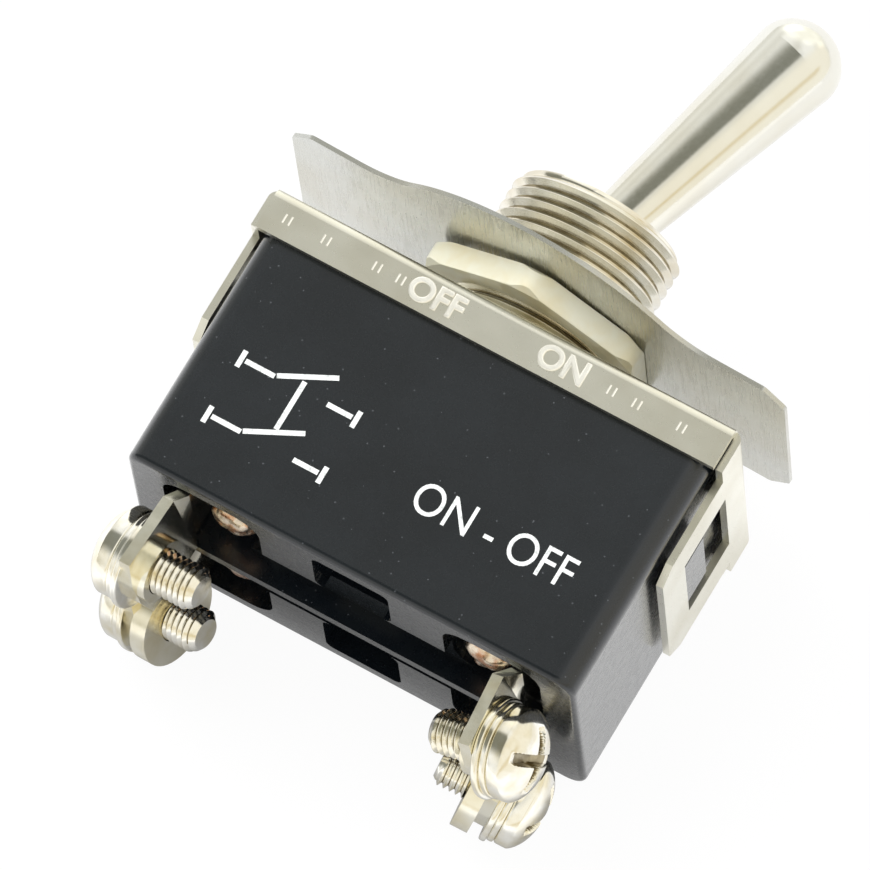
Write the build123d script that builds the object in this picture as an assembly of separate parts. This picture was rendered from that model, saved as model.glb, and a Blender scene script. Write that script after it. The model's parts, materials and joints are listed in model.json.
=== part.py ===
"""Heavy duty two-pole ON-OFF toggle switch with four screw terminals.

Millimetres, +Z up along the bushing towards the lever, +X along the body.
The origin is on the bushing's axis, in the plane of the cap's top, where the panel seats.
The lever is modelled thrown towards +X, which closes both poles.
"""
from build123d import *
from math import atan2, cos, degrees, radians, sin, tan
import os

# Housing, a moulded box that is open at the top
housing_length = 32.2
housing_width = 19.2
housing_bottom = -19.8
housing_corner_radius = 1.5
housing_edge_radius = 0.4
side_wall = 1.4
end_wall = 2.1
barrier_thickness = 1.2
barrier_top = -10.0
floor_level = -16.4
step_level = -14.3
step_overlap = 0.1
foot_rib_thickness = 0.9
foot_rib_drop = 0.7

# Pockets and slots in the housing's underside
pocket_end_wall = 2.5
pocket_length = 7.0
pocket_wall = 1.3
pocket_depth = 2.2
slot_half_length = 2.75
slot_inner_y = 3.6
slot_depth = 2.4
trough_depth = 0.9
pocket_corner_radius = 1.8
slot_corner_radius = 0.6

# Cap, one stamped and folded sheet
cap_sheet = 0.5
cap_side_gap = 0.05
cap_end_gap = 0.4
flange_depth = 3.0
flange_end_slit = 0.35
fold_radius = 0.65
shoulder_depth = 2.8
strap_width = 15.0
strap_depth = 10.4
strap_corner = (1.0, 1.3)
window_width = 8.4
window_top = -2.7
window_bottom = -7.8

# Snap lugs on the housing's ends, one in each window of the cap
lug_width = 7.4
lug_face_height = 2.4
lug_ramp_height = 0.6
lug_projection = 0.75
lug_side_bevel = 0.5
lug_root = 0.5
lug_window_gap = 0.1

# Threaded bushing
thread_radius = 6.0
thread_pitch = 0.8
bushing_height = 11.0
bushing_chamfer = 0.5
spigot_radius = 5.6
spigot_gap = 0.05
collar_radius = 6.5
collar_thickness = 0.7
socket_flare = 0.55
flare_height = 2.2
mouth_radius = 3.9
mouth_throat = 3.3
keyway_width = 1.7
keyway_depth = 0.9

# Lever
pivot_height = 7.5
throw_angle = 16.5
ball_radius = 3.9
ball_clearance = 0.1
neck_start_radius = 2.0
bat_radius = 3.05
bat_widest = 19.4
lever_reach = 22.3
tail_radius = 1.5
tail_reach = 15.0
pin_radius = 0.8
pin_length = 9.4
pin_groove_gap = 0.1

# Insulating actuator on the lever's tail, and the sprung plungers in it
pole_inset = 0.15
actuator_top = 10.7
actuator_bottom = 16.7
actuator_half_depth = 2.3
actuator_end = 2.35
actuator_edge = 0.5
tail_fit = 0.02
plunger_radius = 1.25
plunger_clearance = 0.08
plunger_socket_depth = 4.4
plunger_reach = 20.0
plunger_length = 5.2
plunger_travel = 1.0
spring_wire = 0.3
spring_turns = 4
spring_gap = 0.06

# Rockers, the see-saw contacts
rocker_angle = 9.0
rocker_thickness = 0.8
rocker_edge_gap = 1.3
rocker_play = 0.08
rocker_bend_radius = 1.5
wing_start = 5.3
contact_share = 0.31
contact_end_gap = 0.1
contact_height = 0.5
contact_gap = 0.05
fulcrum_radius = 0.45
fulcrum_foot = 0.5
fulcrum_gap = 0.05

# Terminals, formed from one thickness of sheet
terminal_sheet = 0.8
tab_inset = 3.7
tab_side_gap = 0.6
tab_bottom = -26.15
tab_corner = (2.25, 0.55)
tab_slot_gap = 0.1
foot_edge_gap = 1.0
foot_length = 5.0
ear_height = 3.0
ear_thickness = 0.5
ear_length = 1.8
ear_gap = 0.15
ear_overlap = 0.1
front_collar = (2.15, 0.6)
rear_collar = (3.3, 1.2)

# How each tab was twisted and bent by hand below the housing, as (turn about Z, lean outwards)
# for its end (-1 left, 1 right) and its side (-1 front, 1 rear)
neck_height = 0.8
tab_set = {(-1, -1): (-10, 3), (-1, 1): (-16, 5), (1, -1): (-16, 5), (1, 1): (12, 4)}

# Rivets that hold the terminals' feet
rivet_inset = 3.2
rivet_shaft = 0.8
rivet_head_radius = 1.4
rivet_head_height = 0.6
rivet_tail_radius = 1.3
rivet_tail_height = 1.9
rivet_dome_share = 0.55
rivet_fit = 0.05

# Terminal screws and their captive washers
screw_height = -23.95
screw_radius = 1.5
screw_thread_gap = 0.06
screw_length = 5.2
screw_tip_chamfer = 0.45
head_radius = 3.05
head_height = 2.2
head_edge_height = 0.9
crown_shoulder = (0.72, 0.62)
recess_width = 0.85
recess_depth = 1.1
recess_span = 3.6
flat_washer = (3.3, 0.45)
lock_washer = (3.1, 0.45)
washer_hole_gap = 0.1

# Mounting nut and the ON-OFF plate above it
nut_across_flats = 15.0
nut_thickness = 1.7
nut_bottom = 1.95
nut_chamfer = 0.65
nut_thread_gap = 0.05
plate_length = 36.2
plate_width = 16.6
plate_sheet = 0.3
plate_disc_radius = 13.4
plate_corner = 1.5
plate_corner_radius = 0.5
plate_blend = 6.0
plate_lean = 1.42
plate_shift = -0.25
plate_hole_gap = 0.3
plate_seat_gap = 0.02
tongue_gap = 0.3

# How far a cutting shape runs past the shape it cuts
cut_past = 1.0

# Sizes that follow from the ones above
housing_half_length = housing_length / 2
housing_half_width = housing_width / 2
housing_top = -cap_sheet
cavity_half_length = housing_half_length - end_wall
cavity_half_width = housing_half_width - side_wall
pocket_end = housing_half_length - pocket_end_wall
pocket_start = pocket_end - pocket_length
step_start = pocket_start + step_overlap
pole_room = cavity_half_width - barrier_thickness / 2
pole_offset = barrier_thickness / 2 + pole_room / 2 - pole_inset
actuator_half_width = pole_offset + actuator_end
tab_width = pole_room - tab_side_gap
tab_face = housing_half_length - tab_inset
tab_middle = tab_face - terminal_sheet / 2
foot_width = tab_width - 2 * foot_edge_gap
foot_start = tab_face - foot_length
rocker_width = tab_width - 2 * rocker_edge_gap
rivet_x = tab_face - rivet_inset
wing_length = rivet_x - wing_start
contact_radius = contact_share * wing_length
cap_half_width = housing_half_width + cap_side_gap + cap_sheet
strap_inner = housing_half_length + cap_end_gap
strap_outer = strap_inner + cap_sheet
socket_radius = ball_radius + ball_clearance
collar_bottom = housing_top - collar_thickness
foot_top = step_level + terminal_sheet
screw_seat = tab_face + flat_washer[1] + lock_washer[1]
plate_seat = nut_bottom + nut_thickness + plate_seat_gap
nut_corner_radius = nut_across_flats / 2 / cos(radians(30))
nut_slope = nut_chamfer / tan(radians(30))


def block(x0, x1, y0, y1, z0, z1):
    """A box between two corners."""
    size = Box(abs(x1 - x0), abs(y1 - y0), abs(z1 - z0))
    return Pos((x0 + x1) / 2, (y0 + y1) / 2, (z0 + z1) / 2) * size


def rod(radius, z0, z1, x=0, y=0):
    """An upright cylinder between two heights."""
    return Pos(x, y, (z0 + z1) / 2) * Cylinder(radius, abs(z1 - z0))


def rod_x(radius, x0, x1, y=0, z=0):
    """A cylinder along X between two places."""
    return Pos((x0 + x1) / 2, y, z) * Rot(0, 90, 0) * Cylinder(radius, abs(x1 - x0))


def turned(points):
    """A solid turned about Z from (radius, height) points."""
    outline = Polyline(*[(r, 0, h) for r, h in points], close=True)
    return revolve(make_face(outline), Axis.Z)


def lean(shape, angle):
    """Swing a shape about the lever's pivot, positive towards +X."""
    return Pos(0, 0, pivot_height) * Rot(0, angle, 0) * Pos(0, 0, -pivot_height) * shape


def thrown(shape):
    """Swing a shape from upright to the lever's ON side."""
    return lean(shape, throw_angle)


def to_pole(shape, side):
    """Move a shape from the middle to the front (-1) or rear (+1) pole."""
    return Pos(0, side * pole_offset, 0) * shape


def make_housing():
    """The moulded box with its barrier, steps, underside pockets and snap lugs."""
    height = housing_top - housing_bottom
    footprint = RectangleRounded(housing_length, housing_width, housing_corner_radius)
    body = Pos(0, 0, housing_bottom) * extrude(footprint, height)
    body = fillet(body.faces().sort_by(Axis.Z)[0].edges(), housing_edge_radius)
    body = fillet(body.faces().sort_by(Axis.Z)[-1].edges(), housing_edge_radius)

    # Inner space, deepest in the middle and stepped up under the terminals' feet
    cavity = block(-step_start, step_start, -cavity_half_width, cavity_half_width, floor_level, 0)
    cavity += block(-cavity_half_length, cavity_half_length,
                    -cavity_half_width, cavity_half_width, step_level, 0)
    body -= cavity
    body += block(-cavity_half_length, cavity_half_length,
                  -barrier_thickness / 2, barrier_thickness / 2, floor_level, barrier_top)

    rib_side = foot_rib_thickness / 2
    pocket_outer = housing_half_width - pocket_wall
    for side in (-1, 1):
        # Trough along each side of the foot rib
        body -= block(-pocket_end, pocket_end, side * rib_side, side * slot_inner_y,
                      housing_bottom, housing_bottom + trough_depth)
        # Empty slot of the middle terminal that this two-terminal pole leaves out
        middle_y = side * (slot_inner_y + pocket_outer) / 2
        outline = RectangleRounded(2 * slot_half_length, pocket_outer - slot_inner_y, slot_corner_radius)
        body -= Pos(0, middle_y, housing_bottom) * extrude(outline, slot_depth)
        for end in (-1, 1):
            length = pocket_end - pocket_start
            centre = (end * (pocket_start + pocket_end) / 2, side * (rib_side + pocket_outer) / 2)
            outline = RectangleRounded(length, pocket_outer - rib_side, pocket_corner_radius)
            body -= Pos(*centre, housing_bottom) * extrude(outline, pocket_depth)
            # Slot that the terminal's tab passes through, and the rivet's hole
            slot = block(end * (tab_face - terminal_sheet - tab_slot_gap), end * (tab_face + tab_slot_gap),
                         -tab_width / 2 - tab_slot_gap, tab_width / 2 + tab_slot_gap, housing_bottom, step_level)
            body -= to_pole(slot, side)
            body -= rod(rivet_shaft + rivet_fit, housing_bottom, step_level, end * rivet_x, side * pole_offset)
    body += block(-pocket_end, pocket_end, -rib_side, rib_side, housing_bottom - foot_rib_drop, housing_bottom)

    for end in (-1, 1):
        body += make_lug(end)
    return body


def make_lug(end):
    """A snap lug, ramped on top so that the strap slides over it, with bevelled sides."""
    bottom = window_bottom + lug_window_gap
    top = bottom + lug_face_height + lug_ramp_height
    root = end * (housing_half_length - lug_root)
    face = end * housing_half_length
    proud = end * (housing_half_length + lug_projection)
    profile = Polyline((root, 0, bottom), (proud, 0, bottom), (proud, 0, bottom + lug_face_height),
                       (face, 0, top), (root, 0, top), close=True)
    lug = extrude(make_face(profile), lug_width / 2, both=True)
    sides = lug.faces().filter_by(Axis.X).sort_by(Axis.X)[0 if end < 0 else -1].edges().filter_by(Axis.Z)
    return chamfer(sides, lug_side_bevel)


def make_cap():
    """The stamped cap: a top with two side flanges and a windowed strap at each end."""
    outer = Pos(0, 0, -flange_depth / 2) * Box(2 * strap_inner, 2 * cap_half_width, flange_depth)
    outer = fillet(outer.edges().filter_by(Axis.X).group_by(Axis.Z)[-1], fold_radius)
    inner_half_width = cap_half_width - cap_sheet
    inner_height = flange_depth - cap_sheet
    inner = Pos(0, 0, -cap_sheet - inner_height / 2) * Box(2 * strap_inner, 2 * inner_half_width, inner_height)
    inner = fillet(inner.edges().filter_by(Axis.X).group_by(Axis.Z)[-1], fold_radius - cap_sheet)
    cap = outer - inner

    shoulder_half = inner_half_width - flange_end_slit
    for end in (-1, 1):
        fold = Pos(0, 0, -strap_depth / 2) * Box(2 * strap_outer, 2 * shoulder_half, strap_depth)
        fold = fillet(fold.edges().filter_by(Axis.Y).group_by(Axis.Z)[-1], fold_radius)
        core_depth = strap_depth - cap_sheet
        core = Pos(0, 0, -cap_sheet - core_depth / 2) * Box(2 * strap_inner, 2 * shoulder_half, core_depth)
        core = fillet(core.edges().filter_by(Axis.Y).group_by(Axis.Z)[-1], fold_radius - cap_sheet)
        end_zone = block(end * housing_half_length / 2, end * (strap_outer + cut_past),
                         -cap_half_width, cap_half_width, -strap_depth - cut_past, cut_past)
        strap = (fold - core) & end_zone
        for side in (-1, 1):
            # Below the shoulder the strap is narrower, and its lower corners are cut
            strap -= block(end * cavity_half_length, end * (strap_outer + cut_past), side * strap_width / 2,
                           side * cap_half_width, -strap_depth - cut_past, -shoulder_depth)
            cut_y, cut_z = strap_corner
            corner = Polyline((0, side * strap_width / 2, -strap_depth),
                              (0, side * (strap_width / 2 - cut_y), -strap_depth),
                              (0, side * strap_width / 2, -strap_depth + cut_z), close=True)
            strap -= extrude(make_face(corner), strap_outer + cut_past, dir=(end, 0, 0))
        strap -= block(end * cavity_half_length, end * (strap_outer + cut_past), -window_width / 2,
                       window_width / 2, window_bottom, window_top)
        cap += strap
    cap -= rod(spigot_radius + spigot_gap, housing_top - cut_past, cut_past)
    return cap


def make_bushing():
    """The threaded bushing: thread envelope, spigot staked under the cap, ball socket and mouth."""
    throat_rise = (socket_radius ** 2 - mouth_throat ** 2) ** 0.5
    outside = turned([
        (0, collar_bottom), (collar_radius, collar_bottom), (collar_radius, housing_top),
        (spigot_radius, housing_top), (spigot_radius, 0), (thread_radius, 0),
        (thread_radius, bushing_height - bushing_chamfer),
        (thread_radius - bushing_chamfer, bushing_height), (0, bushing_height),
    ])
    inside = turned([
        (0, collar_bottom - cut_past), (socket_radius + socket_flare, collar_bottom - cut_past),
        (socket_radius + socket_flare, collar_bottom), (socket_radius, collar_bottom + flare_height),
        (socket_radius, pivot_height), (0, pivot_height),
    ])
    inside += Pos(0, 0, pivot_height) * Sphere(socket_radius)
    inside += turned([
        (0, pivot_height), (mouth_throat, pivot_height + throat_rise),
        (mouth_radius, bushing_height), (mouth_radius, bushing_height + cut_past), (0, bushing_height + cut_past),
    ])
    bushing = outside - inside
    # Grooves for the lever's pin, open downwards
    groove_half = pin_radius + pin_groove_gap
    groove_reach = pin_length / 2 + pin_groove_gap
    groove = block(-groove_half, groove_half, -groove_reach, groove_reach, collar_bottom - cut_past, pivot_height)
    groove += Pos(0, 0, pivot_height) * Rot(90, 0, 0) * Cylinder(groove_half, 2 * groove_reach)
    bushing -= groove
    # Keyway along the thread, on the rear side
    bushing -= block(-keyway_width / 2, keyway_width / 2, thread_radius - keyway_depth,
                     thread_radius + cut_past, 0, bushing_height + cut_past)
    return bushing


def make_lever():
    """The turned bat lever: domed bat, neck, ball and tail, upright about its pivot."""
    neck_rise = (ball_radius ** 2 - neck_start_radius ** 2) ** 0.5
    dome_rise = lever_reach - bat_widest
    bat = Polyline((0, 0, 0), (neck_start_radius, 0, 0), (neck_start_radius, 0, neck_rise),
                   (bat_radius, 0, bat_widest))
    dome = Polyline((0, 0, lever_reach), (0, 0, 0))
    edge = Spline((bat_radius, 0, bat_widest),
                  (bat_radius * cos(radians(45)), 0, bat_widest + dome_rise * sin(radians(45))),
                  (0, 0, lever_reach), tangents=[(0, 0, 1), (-1, 0, 0)])
    lever = revolve(make_face(bat + edge + dome), Axis.Z)
    lever += Sphere(ball_radius)
    lever += rod(tail_radius, -tail_reach, 0)
    lever -= Rot(90, 0, 0) * Cylinder(pin_radius, 4 * ball_radius)
    return thrown(Pos(0, 0, pivot_height) * lever)


def make_lever_pin():
    """The cross pin through the ball, whose ends turn in the bushing's grooves."""
    return thrown(Pos(0, 0, pivot_height) * Rot(90, 0, 0) * Cylinder(pin_radius, pin_length))


def make_actuator():
    """The insulating block on the lever's tail, with one socket for each pole's plunger."""
    top = pivot_height - actuator_top
    bottom = pivot_height - actuator_bottom
    body = block(-actuator_half_depth, actuator_half_depth, -actuator_half_width,
                 actuator_half_width, bottom, top)
    body = fillet(body.edges().filter_by(Axis.Z), actuator_edge)
    body -= rod(tail_radius + tail_fit, pivot_height - tail_reach - tail_fit, top + cut_past)
    for side in (-1, 1):
        socket = rod(plunger_radius + plunger_clearance, bottom - cut_past, bottom + plunger_socket_depth)
        body -= to_pole(socket, side)
    return thrown(body)


def make_plunger(side):
    """A round-nosed plunger, drawn out against its rocker."""
    nose = plunger_reach - plunger_radius
    shape = rod(plunger_radius, -nose, -nose + plunger_length - plunger_radius)
    shape += Pos(0, 0, -nose) * Sphere(plunger_radius)
    return thrown(to_pole(Pos(0, 0, pivot_height) * shape, side))


def make_spring(side):
    """The coil spring between the socket's end and the plunger."""
    coil_radius = plunger_radius - spring_wire / 2 - spring_gap
    plunger_end = -plunger_reach + plunger_length
    socket_end = -actuator_bottom + plunger_socket_depth
    low = plunger_end + spring_wire / 2 + spring_gap
    height = socket_end - spring_wire / 2 - spring_gap - low
    path = Helix(height / spring_turns, height, coil_radius)
    section = Plane(origin=path @ 0, z_dir=path % 0) * Circle(spring_wire / 2)
    coil = sweep(section, path=path, is_frenet=True)
    return thrown(to_pole(Pos(0, 0, pivot_height + low) * coil, side))


def rocker_frame():
    """Where the rocker turns and the circle that the plunger's nose follows across it."""
    valley = pivot_height - plunger_reach - rocker_play
    axis_height = valley - rocker_thickness - fulcrum_gap - fulcrum_radius
    nose_reach = plunger_reach - plunger_radius
    throw = radians(throw_angle)
    tilt = radians(rocker_angle)
    across = -nose_reach * sin(throw)
    above = pivot_height - nose_reach * cos(throw) - axis_height
    end_x = across * cos(tilt) + above * sin(tilt)
    end_z = -across * sin(tilt) + above * cos(tilt)
    middle_z = pivot_height - nose_reach - axis_height
    rise = end_z - middle_z
    path_radius = (end_x ** 2 + rise ** 2) / (2 * rise)
    return axis_height, middle_z + path_radius, path_radius, -end_x


def rocker_line():
    """Half of the rocker's middle line in its own level frame, from the valley to the wing's end."""
    axis_height, arc_centre, path_radius, reach = rocker_frame()
    line_radius = path_radius + plunger_radius + rocker_play + rocker_thickness / 2
    arc_angle = degrees(atan2(reach, (path_radius ** 2 - reach ** 2) ** 0.5))
    dish = JernArc((0, arc_centre - line_radius), (1, 0), line_radius, arc_angle)
    bend = JernArc(dish @ 1, dish % 1, rocker_bend_radius, rocker_angle - arc_angle)
    wing = Line(bend @ 1, bend @ 1 + (bend % 1) * wing_length)
    return dish, bend, wing


def rocker_pose(shape, side):
    """Put a shape from the rocker's level frame to its pole, with the -X wing down."""
    axis_height = rocker_frame()[0]
    return to_pole(Pos(0, 0, axis_height) * Rot(0, -rocker_angle, 0) * shape, side)


def make_rocker(side):
    """The see-saw strip: a dish that the plunger crosses, and two wings."""
    dish, bend, wing = rocker_line()
    half = trace(Wire([dish, bend, wing]), rocker_thickness)
    profile = half + mirror(half, Plane.YZ)
    strip = extrude(profile, rocker_width / 2, both=True)
    return rocker_pose(Rot(90, 0, 0) * strip, side)


def contact_place():
    """The moving contact's place under the -X wing, in the rocker's level frame."""
    wing = rocker_line()[2]
    along = wing.length - contact_radius - contact_end_gap
    point = wing @ 0 + (wing % 0) * along
    return -point.X, point.Y


def fixed_contact_level():
    """The height of the fixed contact's face, just under the closed moving contact."""
    x, z = contact_place()
    tilt = radians(rocker_angle)
    wing_height = rocker_frame()[0] + x * sin(tilt) + z * cos(tilt)
    return wing_height - rocker_thickness / 2 - contact_height - contact_gap


def make_moving_contact(side):
    """The silver button under the wing that closes the pole."""
    x, z = contact_place()
    button = Pos(0, 0, -rocker_thickness / 2 - contact_height / 2) * Cylinder(contact_radius, contact_height)
    return rocker_pose(Pos(x, 0, z) * Rot(0, rocker_angle, 0) * button, side)


def set_by_hand(shape, end, side):
    """Turn and lean a shape with its tab, about the tab's upright line at the housing's underside."""
    turn, outwards = tab_set[end, side]
    hinge = (end * tab_middle, 0, housing_bottom)
    back = (-end * tab_middle, 0, -housing_bottom)
    return Pos(*hinge) * Rot(0, 0, turn) * Rot(0, -end * outwards, 0) * Pos(*back) * shape


def make_tab(end, side):
    """The tab: straight in its slot, twisted below it, with the collar and screw hole in its lower part."""
    cut_y, cut_z = tab_corner
    half = tab_width / 2
    neck_bottom = housing_bottom - neck_height
    outline = Polyline((0, -half, neck_bottom), (0, half, neck_bottom), (0, half, tab_bottom + cut_z),
                       (0, half - cut_y, tab_bottom), (0, -half + cut_y, tab_bottom),
                       (0, -half, tab_bottom + cut_z), close=True)
    lower = Pos(end * tab_face, 0, 0) * extrude(make_face(outline), terminal_sheet, dir=(-end, 0, 0))
    radius, length = front_collar if side < 0 else rear_collar
    inner_face = tab_face - terminal_sheet
    lower += rod_x(radius, end * (inner_face - length), end * inner_face, 0, screw_height)
    lower -= rod_x(screw_radius + screw_thread_gap, 0, end * (tab_face + cut_past), 0, screw_height)

    section = Rectangle(terminal_sheet, tab_width)
    start = Pos(end * tab_middle, 0, housing_bottom) * section
    finish = set_by_hand(Pos(end * tab_middle, 0, neck_bottom) * section, end, side)
    neck = loft([start.face(), finish.face()], ruled=True)
    upper = block(end * inner_face, end * tab_face, -half, half, housing_bottom, foot_top)
    return upper + neck + set_by_hand(lower, end, side)


def make_terminal(end, side):
    """A terminal: tab, foot on the housing's step and, at +X, the strip with the rocker's fulcrum."""
    half = foot_width / 2
    reach = foot_start if end < 0 else step_start - terminal_sheet
    shape = make_tab(end, side)
    shape += block(end * reach, end * tab_face, -half, half, step_level, foot_top)
    if end > 0:
        strip_top = floor_level + terminal_sheet
        axis_height = rocker_frame()[0]
        shape += block(reach, step_start, -half, half, floor_level, foot_top)
        shape += block(-ear_length, step_start, -half, half, floor_level, strip_top)
        # Folded fulcrum, round on top about the rocker's axis
        foot = fulcrum_radius + fulcrum_foot
        flank = Polyline((-foot, 0, floor_level), (foot, 0, floor_level),
                         (fulcrum_radius, 0, axis_height), (-fulcrum_radius, 0, axis_height), close=True)
        shape += extrude(make_face(flank), half, both=True)
        shape += Pos(0, 0, axis_height) * Rot(90, 0, 0) * Cylinder(fulcrum_radius, foot_width)
        # Ears that keep the rocker from moving sideways
        ear_inner = rocker_width / 2 + ear_gap
        for edge in (-1, 1):
            shape += block(-ear_length / 2, ear_length / 2, edge * ear_inner, edge * (ear_inner + ear_thickness),
                           floor_level, strip_top + ear_height)
            shape += block(-ear_length / 2, ear_length / 2, edge * (half - ear_overlap),
                           edge * (ear_inner + ear_thickness), floor_level, strip_top)
    shape -= rod(rivet_shaft + rivet_fit, step_level - cut_past, foot_top + cut_past, end * rivet_x, 0)
    return to_pole(shape, side)


def make_rivet(end, side):
    """A rivet through the foot and the floor, upset in the underside pocket.

    The head of a -X rivet is the pole's fixed contact.
    """
    pocket_roof = housing_bottom + pocket_depth
    tail_bottom = pocket_roof - rivet_tail_height
    dome = rivet_tail_radius * rivet_dome_share
    head_top = fixed_contact_level() if end < 0 else foot_top + rivet_head_height
    shape = turned([
        (0, tail_bottom), (dome, tail_bottom), (rivet_tail_radius, tail_bottom + dome),
        (rivet_tail_radius, pocket_roof), (rivet_shaft, pocket_roof), (rivet_shaft, foot_top),
        (rivet_head_radius, foot_top), (rivet_head_radius, head_top), (0, head_top),
    ])
    return to_pole(Pos(end * rivet_x, 0, 0) * shape, side)


def on_tab(shape, end, side):
    """Put a screw part that is drawn along +Z on its tab, pointing out of its end of the switch."""
    level = Pos(0, 0, screw_height) * Rot(0, 90 * end, 0) * shape
    return to_pole(set_by_hand(level, end, side), side)


def make_washer(size, seat, end, side):
    """A captive washer on a terminal screw, standing on its seat."""
    radius, thickness = size
    hole = rod(screw_radius + washer_hole_gap, seat - cut_past, seat + thickness + cut_past)
    ring = rod(radius, seat, seat + thickness) - hole
    return on_tab(ring, end, side)


def make_screw(end, side):
    """A pan-head screw with a cross and a slot in its head."""
    top = screw_seat + head_height
    rise = head_height - head_edge_height
    profile = Polyline((0, 0, screw_seat), (head_radius, 0, screw_seat),
                       (head_radius, 0, screw_seat + head_edge_height))
    crown = ThreePointArc((head_radius, 0, screw_seat + head_edge_height),
                          (head_radius * crown_shoulder[0], 0,
                           screw_seat + head_edge_height + rise * crown_shoulder[1]), (0, 0, top))
    centre = Line((0, 0, top), (0, 0, screw_seat))
    screw = revolve(make_face(profile + crown + centre), Axis.Z)
    screw += rod(screw_radius, screw_seat - screw_length, screw_seat)
    screw = chamfer(screw.edges().sort_by(Axis.Z)[0], screw_tip_chamfer)
    bottom = top - recess_depth
    screw -= block(-recess_width / 2, recess_width / 2, -recess_span / 2, recess_span / 2, bottom, top + cut_past)
    screw -= block(-head_radius, head_radius, -recess_width / 2, recess_width / 2, bottom, top + cut_past)
    return on_tab(screw, end, side)


def make_nut():
    """The hexagonal mounting nut, chamfered on both faces."""
    prism = Pos(0, 0, nut_bottom) * extrude(RegularPolygon(nut_corner_radius, 6, rotation=30), nut_thickness)
    top = nut_bottom + nut_thickness
    cone = turned([
        (0, nut_bottom), (nut_corner_radius - nut_slope, nut_bottom), (nut_corner_radius, nut_bottom + nut_chamfer),
        (nut_corner_radius, top - nut_chamfer), (nut_corner_radius - nut_slope, top), (0, top),
    ])
    return (prism & cone) - rod(thread_radius + nut_thread_gap, nut_bottom - cut_past, top + cut_past)


def make_plate():
    """The ON-OFF plate: a chamfered strip that swells to a round middle, keyed to the bushing."""
    outline = chamfer(Rectangle(plate_length, plate_width).vertices(), plate_corner)
    outline = fillet(outline.vertices(), plate_corner_radius)
    outline += Circle(plate_disc_radius)
    outline = fillet(outline.vertices().filter_by_position(Axis.X, -plate_disc_radius, plate_disc_radius), plate_blend)
    # The plate is loose and lies a little to the left on the bushing
    hole = Circle(thread_radius + plate_hole_gap)
    tongue_tip = thread_radius - keyway_depth + tongue_gap
    tongue_root = thread_radius + 2 * plate_hole_gap
    tongue = Pos(0, (tongue_tip + tongue_root) / 2) * Rectangle(keyway_width - 2 * tongue_gap,
                                                              tongue_root - tongue_tip)
    sheet = Pos(plate_shift, 0, 0) * extrude(outline - (hole - tongue), plate_sheet)
    lift = (nut_corner_radius - nut_slope) * sin(radians(plate_lean))
    return Pos(0, 0, plate_seat + lift) * Rot(0, plate_lean, 0) * sheet


ends = {"left": -1, "right": 1}
sides = {"front": -1, "rear": 1}

pieces = {
    "housing": make_housing(),
    "frame_cap": make_cap(),
    "bushing": make_bushing(),
    "toggle_lever": make_lever(),
    "lever_pin": make_lever_pin(),
    "actuator": make_actuator(),
    "mounting_nut": make_nut(),
    "on_off_plate": make_plate(),
}
for side_name, side in sides.items():
    pieces[f"plunger_{side_name}"] = make_plunger(side)
    pieces[f"plunger_spring_{side_name}"] = make_spring(side)
    pieces[f"rocker_{side_name}"] = make_rocker(side)
    pieces[f"moving_contact_{side_name}"] = make_moving_contact(side)
    for end_name, end in ends.items():
        place = f"{side_name}_{end_name}"
        pieces[f"terminal_{place}"] = make_terminal(end, side)
        pieces[f"terminal_rivet_{place}"] = make_rivet(end, side)
        pieces[f"terminal_screw_{place}"] = make_screw(end, side)
        pieces[f"flat_washer_{place}"] = make_washer(flat_washer, tab_face, end, side)
        pieces[f"lock_washer_{place}"] = make_washer(lock_washer, tab_face + flat_washer[1], end, side)

os.makedirs("parts", exist_ok=True)
for name, shape in pieces.items():
    export_step(shape, f"parts/{name}.step")
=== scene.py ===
"""Looks of a two-pole panel toggle switch with four screw terminals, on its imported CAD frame.

Lengths in this file are millimetres unless a name says otherwise, and become metres in the meshes.
"""
from __future__ import annotations

import json
import logging
import math
from collections.abc import Callable
from dataclasses import dataclass, field
from enum import Enum

import bmesh
import bpy
import numpy as np
from mathutils import Matrix, Vector

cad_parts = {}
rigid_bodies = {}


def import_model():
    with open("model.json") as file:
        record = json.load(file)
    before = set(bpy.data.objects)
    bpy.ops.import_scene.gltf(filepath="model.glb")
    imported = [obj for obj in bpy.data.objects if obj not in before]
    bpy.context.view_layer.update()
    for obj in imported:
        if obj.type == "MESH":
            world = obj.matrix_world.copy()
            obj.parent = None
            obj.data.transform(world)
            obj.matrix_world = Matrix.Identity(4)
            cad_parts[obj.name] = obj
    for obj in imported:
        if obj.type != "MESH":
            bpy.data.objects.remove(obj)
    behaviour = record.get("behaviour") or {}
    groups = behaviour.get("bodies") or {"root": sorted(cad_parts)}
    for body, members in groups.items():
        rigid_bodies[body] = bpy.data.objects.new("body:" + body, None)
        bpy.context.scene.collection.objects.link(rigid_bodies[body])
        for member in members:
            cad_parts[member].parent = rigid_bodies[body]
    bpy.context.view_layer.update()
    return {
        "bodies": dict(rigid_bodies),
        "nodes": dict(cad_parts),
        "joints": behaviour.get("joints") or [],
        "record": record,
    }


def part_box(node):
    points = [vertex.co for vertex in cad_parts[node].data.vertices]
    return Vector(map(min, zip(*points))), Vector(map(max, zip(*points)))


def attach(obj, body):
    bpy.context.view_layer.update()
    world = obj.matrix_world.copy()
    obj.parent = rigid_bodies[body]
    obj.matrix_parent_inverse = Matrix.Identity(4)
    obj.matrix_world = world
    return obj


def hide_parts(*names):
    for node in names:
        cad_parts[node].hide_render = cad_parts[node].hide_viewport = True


log = logging.getLogger("switch")

MM = 0.001
TAU = 2 * math.pi

Tree = bpy.types.NodeTree
Socket = bpy.types.NodeSocket
# Points of a profile, as (radius, height)
Profile = list[tuple[float, float]]
# Grids of points, each with whether its rows and its columns close on themselves
Grids = list[tuple[np.ndarray, bool, bool]]
# Tells which points of an array are meant
Chooser = Callable[[np.ndarray], np.ndarray]


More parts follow.
